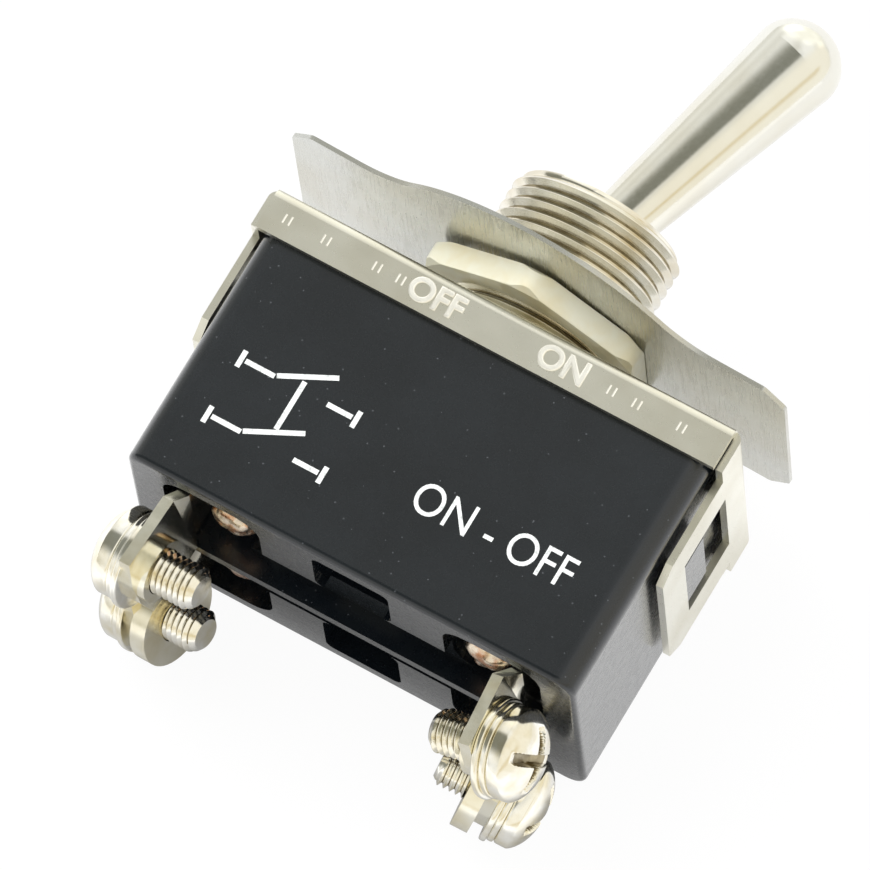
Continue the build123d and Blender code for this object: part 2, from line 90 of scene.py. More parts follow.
def linear(code: str, alpha: float = 1.0) -> tuple[float, float, float, float]:
    """Turns an sRGB hex colour into linear values.

    Args:
        code: Six hex digits, with or without the hash sign.
        alpha: Opacity.

    Returns:
        Red, green, blue and alpha, linear.
    """
    digits = code.lstrip("#")
    parts = [int(digits[k:k + 2], 16) / 255 for k in (0, 2, 4)]
    lin = [c / 12.92 if c <= 0.04045 else ((c + 0.055) / 1.055) ** 2.4 for c in parts]
    return lin[0], lin[1], lin[2], alpha


def add(tree: Tree, kind: str, inputs: dict | None = None, output: str | int = 0,
        stops: tuple[tuple[float, str], ...] = (), **settings) -> Socket:
    """Adds one shader node with its settings, values and links.

    Args:
        tree: Node tree that gets the node.
        kind: Blender's name of the node's type.
        inputs: Value or output socket for each input, by name or number.
        output: Which output to return, by name or number.
        stops: Position and hex colour of both ends of a colour ramp.
        **settings: Properties of the node.

    Returns:
        The node's output socket, or its first input where it has no output.
    """
    node = tree.nodes.new(kind)
    for name, value in settings.items():
        setattr(node, name, value)
    for key, value in (inputs or {}).items():
        if isinstance(value, Socket):
            tree.links.new(value, node.inputs[key])
        else:
            node.inputs[key].default_value = value
    for number, (place, code) in enumerate(stops):
        node.color_ramp.elements[number].position = place
        node.color_ramp.elements[number].color = linear(code)
    return node.outputs[output] if node.outputs else node.inputs[0]


def blank_material(name: str) -> tuple[bpy.types.Material, Tree, Socket]:
    """Makes a material with an empty node tree.

    Args:
        name: Name of the material.

    Returns:
        The material, its tree and its Object coordinates.
    """
    material = bpy.data.materials.new(name)
    material.use_nodes = True
    material.node_tree.nodes.clear()
    place = add(material.node_tree, "ShaderNodeTexCoord", output="Object")
    return material, material.node_tree, place


def shared(tree: Tree, *steps: tuple[Socket, float, float]) -> Socket:
    """Multiplies smooth steps, so that the product is 1 only where all of them are.

    Args:
        tree: Node tree that gets the nodes.
        *steps: For each step its value, where it starts from 0 and where it reaches 1.

    Returns:
        The product's socket.
    """
    product = None
    for value, start, end in steps:
        step = add(tree, "ShaderNodeMapRange", {"Value": value, "From Min": start, "From Max": end},
                   interpolation_type="SMOOTHSTEP")
        product = step if product is None else add(
            tree, "ShaderNodeMath", {0: product, 1: step}, operation="MULTIPLY")
    return product


class Pattern(Enum):
    """How a metal's surface was worked, which sets the direction of its fine marks."""

    DRAWN = (1.0, 1.0, 1.0)
    BRUSHED_X = (0.05, 1.0, 1.0)
    BRUSHED_Y = (1.0, 0.05, 1.0)
    TURNED = (0.6, 0.6, 3.0)


@dataclass(frozen=True)
class Plating:
    """Bright metal plating: a metal whose tone, gloss and flatness vary a little from place to place."""

    name: str
    tone: str
    stain: str
    roughness: float
    roughness_spread: float = 0.03
    stain_size: float = 3.0
    stain_edge: tuple[float, float] = (0.4, 0.68)
    grain_size: float = 0.2
    grain: float = 0.012
    wave_size: float = 2.4
    wave: float = 0.1
    pattern: Pattern = Pattern.DRAWN
    metallic: float = 1.0

    def build(self) -> bpy.types.Material:
        """Makes the node material.

        Returns:
            The material, with its stains, waves and fine marks scaled from their real size.
        """
        material, tree, place = blank_material(self.name)
        cloud = add(tree, "ShaderNodeTexNoise", {
            "Vector": place, "Scale": 1 / (self.stain_size * MM), "Detail": 3.0, "Roughness": 0.5})
        low, high = self.stain_edge
        colour = add(tree, "ShaderNodeValToRGB", {0: cloud}, stops=((low, self.tone), (high, self.stain)))
        stretched = add(tree, "ShaderNodeMapping", {"Vector": place, "Scale": self.pattern.value})
        grain = add(tree, "ShaderNodeTexNoise", {
            "Vector": stretched, "Scale": 1 / (self.grain_size * MM),
            "Detail": 2.0, "Roughness": 0.5})
        rough = add(tree, "ShaderNodeMapRange", {
            "Value": grain, "From Min": 0.3, "From Max": 0.7,
            "To Min": self.roughness - self.roughness_spread,
            "To Max": self.roughness + self.roughness_spread})
        wave = add(tree, "ShaderNodeTexNoise", {
            "Vector": place, "Scale": 1 / (self.wave_size * MM), "Detail": 1.0})
        rolling = add(tree, "ShaderNodeBump", {
            "Height": wave, "Strength": self.wave, "Distance": 0.3 * MM})
        bump = add(tree, "ShaderNodeBump", {
            "Height": grain, "Strength": self.grain, "Distance": 0.05 * MM,
            "Normal": rolling})
        shader = add(tree, "ShaderNodeBsdfPrincipled", {
            "Base Color": colour, "Metallic": self.metallic, "Roughness": rough, "Normal": bump})
        add(tree, "ShaderNodeOutputMaterial", {"Surface": shader})
        return material


@dataclass(frozen=True)
class Moulding:
    """Moulded phenolic or other rigid plastic: satin, with fine filler specks and a faint orange peel."""

    name: str
    tone: str
    shade: str
    speck: str
    roughness: float
    speck_size: float = 0.2
    speck_radius: float = 0.28
    speck_share: float = 0.02
    peel_size: float = 0.6
    bump: float = 0.02
    coat: float = 0.0

    def build(self) -> bpy.types.Material:
        """Makes the node material, with specks where cells of a Voronoi pattern have a high number.

        Returns:
            The material, whose gloss and flatness follow one orange-peel noise.
        """
        material, tree, place = blank_material(self.name)
        cloud = add(tree, "ShaderNodeTexNoise", {
            "Vector": place, "Scale": 1 / (6 * MM), "Detail": 5.0, "Roughness": 0.6})
        base = add(tree, "ShaderNodeValToRGB", {0: cloud}, stops=((0.35, self.tone), (0.7, self.shade)))
        distance = add(tree, "ShaderNodeTexVoronoi", {"Vector": place, "Scale": 1 / (self.speck_size * MM)},
                       "Distance")
        chance = add(tree, "ShaderNodeSeparateColor", {"Color": distance.node.outputs["Color"]}, "Red")
        rare = add(tree, "ShaderNodeMath", {0: chance, 1: 1 - self.speck_share}, operation="GREATER_THAN")
        small = add(tree, "ShaderNodeMath", {0: distance, 1: self.speck_radius}, operation="LESS_THAN")
        shown = add(tree, "ShaderNodeMath", {0: rare, 1: small}, operation="MULTIPLY")
        mixed = add(tree, "ShaderNodeMix", {"Factor": shown, "A": base, "B": linear(self.speck)}, "Result",
                    data_type="RGBA")
        peel = add(tree, "ShaderNodeTexNoise", {
            "Vector": place, "Scale": 1 / (self.peel_size * MM), "Detail": 3.0})
        rough = add(tree, "ShaderNodeMapRange", {
            "Value": peel, "From Min": 0.3, "From Max": 0.7,
            "To Min": self.roughness - 0.06, "To Max": self.roughness + 0.06})
        bump = add(tree, "ShaderNodeBump", {
            "Height": peel, "Strength": self.bump, "Distance": 0.02 * MM})
        shader = add(tree, "ShaderNodeBsdfPrincipled", {
            "Base Color": mixed, "Roughness": rough, "IOR": 1.38, "Normal": bump,
            "Coat Weight": self.coat, "Coat Roughness": 0.2, "Coat IOR": 1.42})
        add(tree, "ShaderNodeOutputMaterial", {"Surface": shader})
        return material


@dataclass(frozen=True)
class Ink:
    """Printed ink: matt, slightly thin and broken where the surface under it is rough."""

    name: str
    tone: str
    worn: str
    roughness: float = 0.6

    def build(self) -> bpy.types.Material:
        """Makes the node material, in which a fine noise thins the ink.

        Returns:
            The material.
        """
        material, tree, place = blank_material(self.name)
        grit = add(tree, "ShaderNodeTexNoise", {"Vector": place, "Scale": 1 / (0.25 * MM), "Detail": 3.0})
        colour = add(tree, "ShaderNodeValToRGB", {0: grit}, stops=((0.5, self.tone), (0.74, self.worn)))
        shader = add(tree, "ShaderNodeBsdfPrincipled", {"Base Color": colour, "Roughness": self.roughness})
        add(tree, "ShaderNodeOutputMaterial", {"Surface": shader})
        return material


FINISHES: dict[str, Plating | Moulding] = {
    # Black phenolic moulding: near black, smooth enough to mirror the table at a low angle
    "phenolic": Moulding("phenolic_moulding", "#0C1116", "#13181D", "#45484C", 0.27, coat=1.0),
    # Bright nickel on deep-drawn steel: white fold lines, beige-grey faces
    "plated_sheet": Plating("nickel_on_drawn_steel", "#F1EFE3", "#E2DECD", 0.3, stain_size=7.0, wave=0.06),
    # Nickel on turned brass: warm white
    "plated_bushing": Plating("nickel_on_turned_brass", "#F1EDE1", "#DFD6C0", 0.17, stain_size=4.0, wave=0.05,
                              pattern=Pattern.TURNED),
    # The die's marks on the cap: paler and less metallic than the sheet round them, a painted highlight for
    # the light on their raised edges
    "struck_marks_painted_highlight": Plating("struck_marks_painted_highlight", "#FFFDF4", "#F8F5EA", 0.28, 0.0, grain=0.0, wave=0.0,
                            metallic=0.72),
    # Polished nickel on brass: the glossiest part
    "plated_lever": Plating("polished_nickel_lever", "#F1F0E8", "#EAE6D8", 0.15, wave=0.03, stain_size=6.0),
    # Ground steel pin
    "steel_pin": Plating("ground_steel", "#B9B9B7", "#9C9C9A", 0.3, pattern=Pattern.TURNED),
    # Natural moulded nylon
    "insulator": Moulding("natural_nylon", "#D8D2C0", "#CCC4AE", "#BDB59F", 0.5),
    # Cloudy passivated zinc: yellow-white, satin, lit evenly instead of mirroring the room
    "plated_nut": Plating("warm_plated_nut", "#FFFDE8", "#F8EFCB", 0.28, 0.0, 2.5, grain=0.0, wave=0.14,
                          metallic=0.0),
    # Brushed zinc-plated plate: satin, with fine lines across its length
    "satin_plate": Plating("brushed_plate", "#CCCDC8", "#C6C4BA", 0.26, 0.05, 7.0, grain_size=0.16,
                           grain=0.03, wave=0.05, pattern=Pattern.BRUSHED_Y),
    # Drawn spring wire
    "spring_steel": Plating("spring_wire", "#A9A8A4", "#8C8A84", 0.32),
    # Rolled copper alloy strip
    "contact_copper": Plating("rolled_copper", "#D79A72", "#B5744F", 0.34, pattern=Pattern.BRUSHED_X),
    # Silver contact rivet, upset cold: blotchy silver, pink copper and gold
    "silver_contact": Plating("upset_silver_copper", "#E8D9C4", "#C4906C", 0.28, 0.08, 0.7, (0.42, 0.6),
                              wave=0.3, wave_size=0.7),
    # Nickel on brass sheet: bright yellow-white
    "plated_terminal": Plating("nickel_on_brass_sheet", "#F8F5E6", "#E8DFC2", 0.18, wave=0.08),
    # Painted shade: a darker material in the screws' crosses and in the roots of the threads, where shade
    # falls
    "painted_shade_hollow": Plating("painted_shade_hollow", "#AB9F80", "#80745A", 0.3, stain_size=0.8),
    # Nickel on steel screw
    "plated_screw": Plating("nickel_on_steel_screw", "#FCFAF2", "#EAE1C6", 0.14, stain_size=1.8, wave=0.1,
                            wave_size=1.4),
}


def surface(name: str, grids: Grids, crease_deg: float = 34.0) -> bpy.types.Object:
    """Makes one mesh object from grids of points.

    Neighbouring grid points become the corners of quads. Points that meet, as at a seam, a pole or
    a doubled column, are merged, and the faces are turned outwards.

    Args:
        name: Object name.
        grids: For each surface its points in millimetres (rows, columns, 3), whether its rows
            close on themselves, and whether its columns do.
        crease_deg: Edges that bend more than this stay sharp.

    Returns:
        The linked object, at the origin.
    """
    points, quads, start = [], [], 0
    for grid, wrap_rows, wrap_cols in grids:
        rows, cols = grid.shape[:2]
        steps = np.arange(rows - (not wrap_rows)), np.arange(cols - (not wrap_cols))
        i, j = np.meshgrid(*steps, indexing="ij")
        down, across = (i + 1) % rows, (j + 1) % cols
        corners = [i * cols + j, i * cols + across, down * cols + across, down * cols + j]
        quads.append(np.stack(corners, -1).reshape(-1, 4) + start)
        points.append(grid.reshape(-1, 3) * MM)
        start += rows * cols
    mesh = bpy.data.meshes.new(name)
    mesh.from_pydata(np.concatenate(points).tolist(), [], np.concatenate(quads).tolist())
    shape = bmesh.new()
    shape.from_mesh(mesh)
    bmesh.ops.remove_doubles(shape, verts=shape.verts, dist=1e-6)
    bmesh.ops.dissolve_degenerate(shape, edges=shape.edges, dist=1e-7)
    bmesh.ops.recalc_face_normals(shape, faces=shape.faces)
    shape.to_mesh(mesh)
    shape.free()
    smooth_mesh(mesh, crease_deg)
    return link(name, mesh)


def smooth_mesh(mesh: bpy.types.Mesh, crease_deg: float) -> None:
    """Shades a mesh smooth.

    Args:
        mesh: Mesh to shade.
        crease_deg: Edges that bend more than this stay sharp.
    """
    mesh.polygons.foreach_set("use_smooth", np.ones(len(mesh.polygons), bool))
    mesh.set_sharp_from_angle(angle=math.radians(crease_deg))
    mesh.update()


def link(name: str, mesh: bpy.types.Mesh) -> bpy.types.Object:
    """Puts a mesh into the scene.

    Args:
        name: Name of the object.
        mesh: Its mesh, with its place in its points.

    Returns:
        The object, at the origin.
    """
    piece = bpy.data.objects.new(name, mesh)
    bpy.context.scene.collection.objects.link(piece)
    return piece


def round_grid(radius: np.ndarray, height: np.ndarray, angles: np.ndarray) -> np.ndarray:
    """Turns a lathe shape into points about Z: x = r cos a, y = r sin a, z = height.

    Args:
        radius: Radius of each point, or of each row or column.
        height: Height of each point, or of each row or column.
        angles: Angle of each column.

    Returns:
        Points (rows, columns, 3).
    """
    radius, height = np.broadcast_arrays(radius, height)
    across = np.broadcast_to(angles, radius.shape)
    return np.stack([radius * np.cos(across), radius * np.sin(across), height], -1)


def profile_rows(points: Profile, columns: int) -> tuple[np.ndarray, np.ndarray]:
    """Spreads a profile of (radius, height) points over the columns of a round grid."""
    both = np.array(points, float)
    return (np.repeat(both[:, :1], columns, 1), np.repeat(both[:, 1:], columns, 1))


def arc_points(centre: tuple[float, float], radius: float, start: float, end: float, steps: int) -> Profile:
    """Points on an arc in the profile plane, centre + radius (cos a, sin a), angles in degrees."""
    angles = np.radians(np.linspace(start, end, steps))
    return [(centre[0] + radius * math.cos(a), centre[1] + radius * math.sin(a)) for a in angles]


@dataclass(frozen=True)
class Thread:
    """An external screw thread between two heights, chamfered at both ends."""

    major_radius: float
    pitch: float
    depth: float
    low: float
    high: float
    low_radius: float
    high_radius: float

    def rows(self, angles: np.ndarray) -> tuple[np.ndarray, np.ndarray]:
        """Radius and height of the thread's grid.

        Each turn has six rows: rounded crest, flanks and rounded root. A row rises by one pitch in
        one turn of the angle, so that crest and root stay on grid lines. The radius is the smaller
        of the thread's own and a 45 degree cone from each end, and heights stop at the ends.

        Args:
            angles: Column angles from 0 to a full turn, both included.

        Returns:
            Arrays of radius and height, each (rows, columns).
        """
        phase = np.array([0.0, 0.07, 0.14, 0.47, 0.57, 0.67])
        cut = np.array([0.06, 0.0, 0.06, 0.92, 1.0, 0.92])
        turns = math.ceil((self.high - self.low) / self.pitch) + 2
        along = (np.arange(turns)[:, None] + phase[None, :]).reshape(-1, 1) - 1
        height = self.low + self.pitch * (along + angles[None, :] / TAU)
        radius = self.major_radius - self.depth * np.tile(cut, turns)[:, None] + 0 * height
        radius = np.minimum(radius, self.low_radius + np.maximum(height - self.low, 0))
        radius = np.minimum(radius, self.high_radius + np.maximum(self.high - height, 0))
        return radius, np.clip(height, self.low, self.high)


def dress(piece: bpy.types.Object, finish: bpy.types.Material, slot: str, body: str, *nodes: str) -> None:
    """Gives a new piece its finish and its place in the frame.

    Args:
        piece: The new piece.
        finish: Its material.
        slot: The record's slot that the finish belongs to; not used.
        body: The body that it moves with.
        *nodes: CAD nodes that it stands for.
    """
    piece.data.materials.clear()
    piece.data.materials.append(finish)
    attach(piece, body)
    if nodes:
        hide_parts(*nodes)
    log.info("piece %s rides on %s, %d faces", piece.name, body, len(piece.data.polygons))


def paint_hollow_shade(piece: bpy.types.Object, finish: bpy.types.Material, hollow: Chooser) -> None:
    """Gives a second, darker material to the faces of a piece that lie in its hollows, as painted shade where
    shade falls.

    Args:
        piece: Piece that has its first material.
        finish: Material of painted shade for the hollows.
        hollow: Tells from the faces' centres in millimetres which of them lie in a hollow.
    """
    count = len(piece.data.polygons)
    centres = np.empty(3 * count)
    piece.data.polygons.foreach_get("center", centres)
    piece.data.materials.append(finish)
    piece.data.polygons.foreach_set("material_index", hollow(centres.reshape(-1, 3) / MM).astype(np.int32))
    piece.data.update()


@dataclass
class ThreadedBushing:
    """The panel bushing with its cut thread, keyway, mouth and ball socket."""

    thread: Thread = field(default_factory=lambda: Thread(6.0, 0.8, 0.46, 0.0, 11.0, 5.5, 5.5))
    collar: tuple[float, float, float] = (6.5, -1.2, -0.5)
    spigot_radius: float = 5.6
    key_half_width: float = 0.85
    key_floor: float = 5.1
    groove_half_width: float = 0.9
    groove_floor: float = 4.8
    groove_top: float = 8.4
    socket_radius: float = 4.0
    pivot: float = 7.5
    throat: float = 3.3
    mouth: float = 3.9
    lip: float = 0.25
    flare: tuple[float, float] = (4.55, 1.0)

    def columns(self) -> tuple[np.ndarray, np.ndarray, np.ndarray]:
        """Works out the columns, which are doubled at the walls of the keyway and of the grooves.

        Returns:
            The columns' angles, and which of them lie in the keyway and which in a groove.
        """
        key = math.asin(self.key_half_width / self.thread.major_radius)
        groove = math.asin(self.groove_half_width / self.socket_radius)
        quarter = TAU / 4
        walls = [quarter - key, quarter + key]
        notches = [quarter - groove, quarter + groove, 3 * quarter - groove, 3 * quarter + groove]
        angles = np.sort(np.concatenate([np.linspace(0, TAU, 145), walls, walls, notches, notches]))
        step = np.concatenate([[0.0], np.diff(angles)])
        # The first of two equal angles takes the sign of the side it comes from
        twin_ahead = np.concatenate([np.diff(angles) == 0, [False]])
        side = np.where(twin_ahead, -1e-6, np.where(step == 0, 1e-6, 0.0))
        probe = angles + side
        in_key = np.abs(probe - quarter) < key
        in_groove = (np.abs(probe - quarter) < groove) | (np.abs(probe - 3 * quarter) < groove)
        return angles, in_key, in_groove

    def build(self) -> bpy.types.Object:
        """Makes the closed bushing: the thread outside, a lathe profile inside, both cut by their slots.

        Returns:
            The bushing's object.
        """
        angles, in_key, in_groove = self.columns()
        count = len(angles)
        thread_r, thread_z = self.thread.rows(angles)
        top = self.thread.high
        throat_z = self.pivot + math.sqrt(self.socket_radius ** 2 - self.throat ** 2)
        start = profile_rows([(self.flare[0], self.collar[1]), (self.collar[0], self.collar[1]),
                              (self.collar[0], self.collar[2]), (self.spigot_radius, self.collar[2]),
                              (self.spigot_radius, 0.0)], count)
        ball = arc_points((0, self.pivot), self.socket_radius,
                          math.degrees(math.asin((throat_z - self.pivot) / self.socket_radius)), 0, 8)
        rim = arc_points((self.mouth + self.lip, top - self.lip), self.lip, 90, 180, 5)
        inner = profile_rows(rim + [(self.throat, throat_z)] + ball[1:] + [
            (self.socket_radius, self.flare[1]), (self.flare[0], self.collar[1])], count)
        floor_key = self.key_floor / np.maximum(np.abs(np.sin(angles)), 0.2)
        thread_r = np.where(in_key[None, :], np.minimum(thread_r, floor_key), thread_r)
        floor_groove = self.groove_floor / np.maximum(np.abs(np.sin(angles)), 0.2)
        cut = in_groove[None, :] & (inner[1] < self.groove_top)
        inner_r = np.where(cut, np.maximum(inner[0], floor_groove), inner[0])
        radius = np.concatenate([start[0], thread_r, inner_r])
        height = np.concatenate([start[1], thread_z, inner[1]])
        grid = round_grid(radius, height, angles)
        return surface("threaded_bushing", [(grid, True, False)], 40)

    def hollow(self, points: np.ndarray) -> np.ndarray:
        """Tells which points lie in the thread's root.

        Args:
            points: Points in millimetres, one a row.

        Returns:
            True for each point in the root.
        """
        height = points[:, 2]
        above_root = np.hypot(points[:, 0], points[:, 1]) - self.thread.major_radius + self.thread.depth
        inside = (height > self.thread.low + 0.2) & (height < self.thread.high - 0.5)
        return (above_root > -0.03) & (above_root < 0.05) & inside


@dataclass
class HexNut:
    """The mounting nut: a hexagon with rounded corners, turned down to a cone on both faces."""

    half_flats: float = 7.5
    corner: float = 8.5
    face_radius: float = 8.0
    bore: float = 6.02
    low: float = 1.95
    high: float = 3.65
    soft: float = 0.1
    cone_degrees: float = 30.0

    def build(self) -> bpy.types.Object:
        """Makes the nut in columns round the axis.

        A column at the angle a from the middle of its flat ends at the radius flats / cos a, or at
        the corner's radius where that is less. Outside the face's radius it drops by the cone's angle.

        Returns:
            The nut's object.
        """
        angles = np.linspace(0, TAU, 241)
        off = (angles + TAU / 12) % (TAU / 6) - TAU / 12
        reach = np.minimum(self.half_flats / np.cos(off), self.corner)
        brim = reach - self.soft
        flat = np.minimum(brim, self.face_radius)
        drop = (brim - flat) * math.tan(math.radians(self.cone_degrees))
        half = [(self.bore + 0 * reach, 0 * reach), (flat, 0 * reach), (brim, drop),
                (reach - 0.3 * self.soft, drop + 0.3 * self.soft), (reach, drop + self.soft)]
        radius = np.stack([row[0] for row in half + half[::-1]])
        height = np.stack([self.low + row[1] for row in half] + [self.high - row[1] for row in half[::-1]])
        return surface("hex_nut", [(round_grid(radius, height, angles), True, False)], 24)


@dataclass(frozen=True)
class TabPose:
    """One terminal's place, and how its tab was turned and leaned by hand below the housing."""

    end: int
    side: int
    turn: float
    outward: float
    hinge: tuple[float, float] = (12.0, -19.8)
    screw_height: float = -23.95
    pole: float = 4.25

    def fetch(self, points: np.ndarray) -> np.ndarray:
        """Brings points from the terminal back to the screw's own axis, the reverse of carry."""
        corners = self.carry(np.concatenate([np.zeros((1, 3)), np.eye(3)]))
        return (points - corners[0]) @ np.linalg.inv(corners[1:] - corners[0])

    def carry(self, grid: np.ndarray) -> np.ndarray:
        """Carries points from the screw's own axis to the terminal.

        The points are drawn about +Z, with their height as the distance from the switch's middle.
        They are laid along the end's direction, leaned about Y and turned about Z through the
        hinge, which is the tab's middle at the housing's underside, and moved to the pole.

        Args:
            grid: Points in millimetres, with the coordinates last.

        Returns:
            The carried points.
        """
        lean, turn = math.radians(-self.end * self.outward), math.radians(self.turn)
        x = self.end * (grid[..., 2] - self.hinge[0])
        y = grid[..., 1]
        z = self.screw_height - self.end * grid[..., 0] - self.hinge[1]
        x, z = x * math.cos(lean) + z * math.sin(lean), z * math.cos(lean) - x * math.sin(lean)
        x, y = x * math.cos(turn) - y * math.sin(turn), x * math.sin(turn) + y * math.cos(turn)
        return np.stack([x + self.end * self.hinge[0], y + self.side * self.pole, z + self.hinge[1]], -1)


TAB_POSES: dict[str, TabPose] = {
    "front_left": TabPose(-1, -1, -10, 3),
    "rear_left": TabPose(-1, 1, -16, 5),
    "front_right": TabPose(1, -1, -16, 5),
    "rear_right": TabPose(1, 1, 12, 4),
}


@dataclass
class TerminalScrew:
    """A binding screw: threaded shank and domed head with a cross in it."""

    cross_turn: float
    seat: float = 13.3
    tip: float = 8.1
    thread_radius: float = 1.5
    pitch: float = 0.43
    thread_depth: float = 0.28
    tip_radius: float = 1.05
    head_radius: float = 3.05
    head_height: float = 2.2
    head_edge: float = 0.9
    edge_round: float = 0.22
    recess_width: float = 0.8
    recess_depth: float = 0.95
    recess_spans: tuple[float, float] = (5.2, 4.4)
    wall_slope: float = 0.09
    columns: int = 193

    def dome(self, radius: np.ndarray) -> np.ndarray:
        """Height of the head's top over a radius: edge + rise (1 - (r / R) ^ 2.4) ^ 0.75."""
        share = np.clip(radius / self.head_radius, 0, 1)
        return self.seat + self.head_edge + (self.head_height - self.head_edge) * (1 - share ** 2.4) ** 0.75

    def hollow(self, points: np.ndarray) -> np.ndarray:
        """Tells which points lie in the cross or in the thread's root.

        Args:
            points: Points about the screw's own axis, in millimetres, one a row.

        Returns:
            True for each point in a hollow.
        """
        radius = np.hypot(points[:, 0], points[:, 1])
        cross = (points[:, 2] > self.seat + 0.9) & (points[:, 2] < self.dome(radius) - 0.3)
        root = (radius < self.thread_radius - 0.62 * self.thread_depth) & (radius > 0.6 * self.thread_radius)
        return cross | (root & (points[:, 2] < self.seat) & (points[:, 2] > self.tip + 0.5))

    def crown(self, angles: np.ndarray) -> np.ndarray:
        """The head's top from its rim to its middle.

        The dome is cut by a cross, each arm of it by depth (1 - (2 s / span) ^ 2) at the distance s
        from the middle.

        Args:
            angles: Column angles.

        Returns:
            Points (rows, columns, 3) about the screw's own axis.
        """
        share = 1 - np.linspace(0, 1, 44)[:, None] ** 1.35
        radius = self.head_radius * share + 0 * angles[None, :]
        across = radius * np.cos(angles - self.cross_turn)
        along = radius * np.sin(angles - self.cross_turn)
        cuts = []
        for off, reach, span in zip((across, along), (along, across), self.recess_spans):
            wall = np.clip((self.recess_width / 2 - np.abs(off)) / self.wall_slope, 0, 1)
            cuts.append(wall * np.clip(1 - (2 * reach / span) ** 2, 0, 1))
        height = self.dome(radius) - self.recess_depth * np.maximum(cuts[0], cuts[1])
        return round_grid(radius, height, angles)

    def build(self, place: str) -> bpy.types.Object:
        """Makes the screw in its terminal.

        Args:
            place: Which terminal, such as front_left.

        Returns:
            The screw's object.
        """
        angles = np.linspace(0, TAU, self.columns)
        thread = Thread(self.thread_radius, self.pitch, self.thread_depth, self.tip, self.seat,
                        self.tip_radius, self.thread_radius - self.thread_depth)
        tip_rows = profile_rows([(0.0, self.tip)], self.columns)
        radius, height = thread.rows(angles)
        base = arc_points((self.head_radius - self.edge_round, self.seat + self.edge_round),
                          self.edge_round, -90, 0, 5)
        head = profile_rows(base, self.columns)
        lower = round_grid(np.concatenate([tip_rows[0], radius, head[0]]),
                           np.concatenate([tip_rows[1], height, head[1]]), angles)
        grid = TAB_POSES[place].carry(np.concatenate([lower, self.crown(angles)]))
        return surface(f"screw_{place}", [(grid, False, False)], 32)


@dataclass
class ScrewRing:
    """A stamped washer under a screw's head, with rounded edges and, for a lock washer, a cut."""

    outer: float
    thickness: float
    seat: float
    cut_degrees: float = 0.0
    edge_round: float = 0.14
    hole_radius: float = 1.6

    def build(self, place: str, name: str) -> bpy.types.Object:
        """Makes the ring on its screw: a rounded rectangle carried round the screw's axis.

        Args:
            place: Which terminal, such as front_left.
            name: Name of the new piece.

        Returns:
            The ring's object.
        """
        r, small = self.edge_round, self.edge_round / 2
        low, high = self.seat, self.seat + self.thickness
        section = (arc_points((self.outer - r, low + r), r, -90, 0, 4)
                   + arc_points((self.outer - r, high - r), r, 0, 90, 4)
                   + arc_points((self.hole_radius + small, high - small), small, 90, 180, 3)
                   + arc_points((self.hole_radius + small, low + small), small, 180, 270, 3))
        gap = math.radians(self.cut_degrees) / 2
        angles = np.linspace(gap, TAU - gap, 97) + 2.4
        radius, height = profile_rows(section, 97)
        ring = TAB_POSES[place].carry(round_grid(radius, height, angles))
        grids = [(ring, True, False)]
        if gap > 0:
            for column in (0, -1):
                flat = np.stack([ring[:, column], np.repeat(ring[:, column].mean(0)[None], len(section), 0)])
                grids.append((flat, False, True))
        return surface(name, grids, 50)


@dataclass
class UpsetRivet:
    """A rivet whose tail was upset by hand, so that it is lumpy and uneven."""

    lump: float = 0.24
    columns: int = 64
    roof: float = -17.6
    foot: float = -13.5
    shank_radius: float = 0.8
    head_radius: float = 1.4
    tail_radius: float = 1.55
    tail_round: float = 0.95
    widest: float = 1.9

    def build(self, place: str, seed: float) -> bpy.types.Object:
        """Makes the rivet: a lathe profile whose tail bulges by a few sine waves round and along it.

        Args:
            place: Which terminal, such as front_left.
            seed: Phase of the waves, so that no two rivets are alike.

        Returns:
            The rivet's object.
        """
        low, high = (np.array(corner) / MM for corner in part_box(f"terminal_rivet_{place}"))
        x, y = (low[0] + high[0]) / 2, (low[1] + high[1]) / 2
        roof, foot, shank, head = self.roof, self.foot, self.shank_radius, self.head_radius
        tail = arc_points((self.tail_radius - self.tail_round, low[2] + self.tail_round),
                          self.tail_round, -90, 0, 8)
        profile = [(0.0, low[2])] + tail + [
            (self.tail_radius, roof - 0.2), (self.tail_radius - 0.1, roof), (shank, roof), (shank, foot),
            (head, foot), (head, high[2] - 0.15), (head - 0.15, high[2]), (0.0, high[2])]
        radius, height = profile_rows(profile, self.columns)
        angles = np.linspace(0, TAU, self.columns)
        in_tail = np.clip((roof - height) / 1.2, 0, 1)
        wave = (np.sin(3 * angles + seed) * np.cos(2.1 * height + seed) * 0.55
                + np.sin(5 * angles - 2 * seed) * np.sin(3.3 * height + 2 * seed) * 0.45)
        radius = radius * (1 + self.lump * wave * in_tail)
        height = height + self.lump * in_tail * (0.5 + 0.5 * np.sin(4 * angles + seed)) * radius * 0.45
        grid = round_grid(np.minimum(radius, self.widest), height, angles)
        grid = grid + np.array([x, y, 0.0])
        return surface(f"upset_rivet_{place}", [(grid, False, False)], 50)


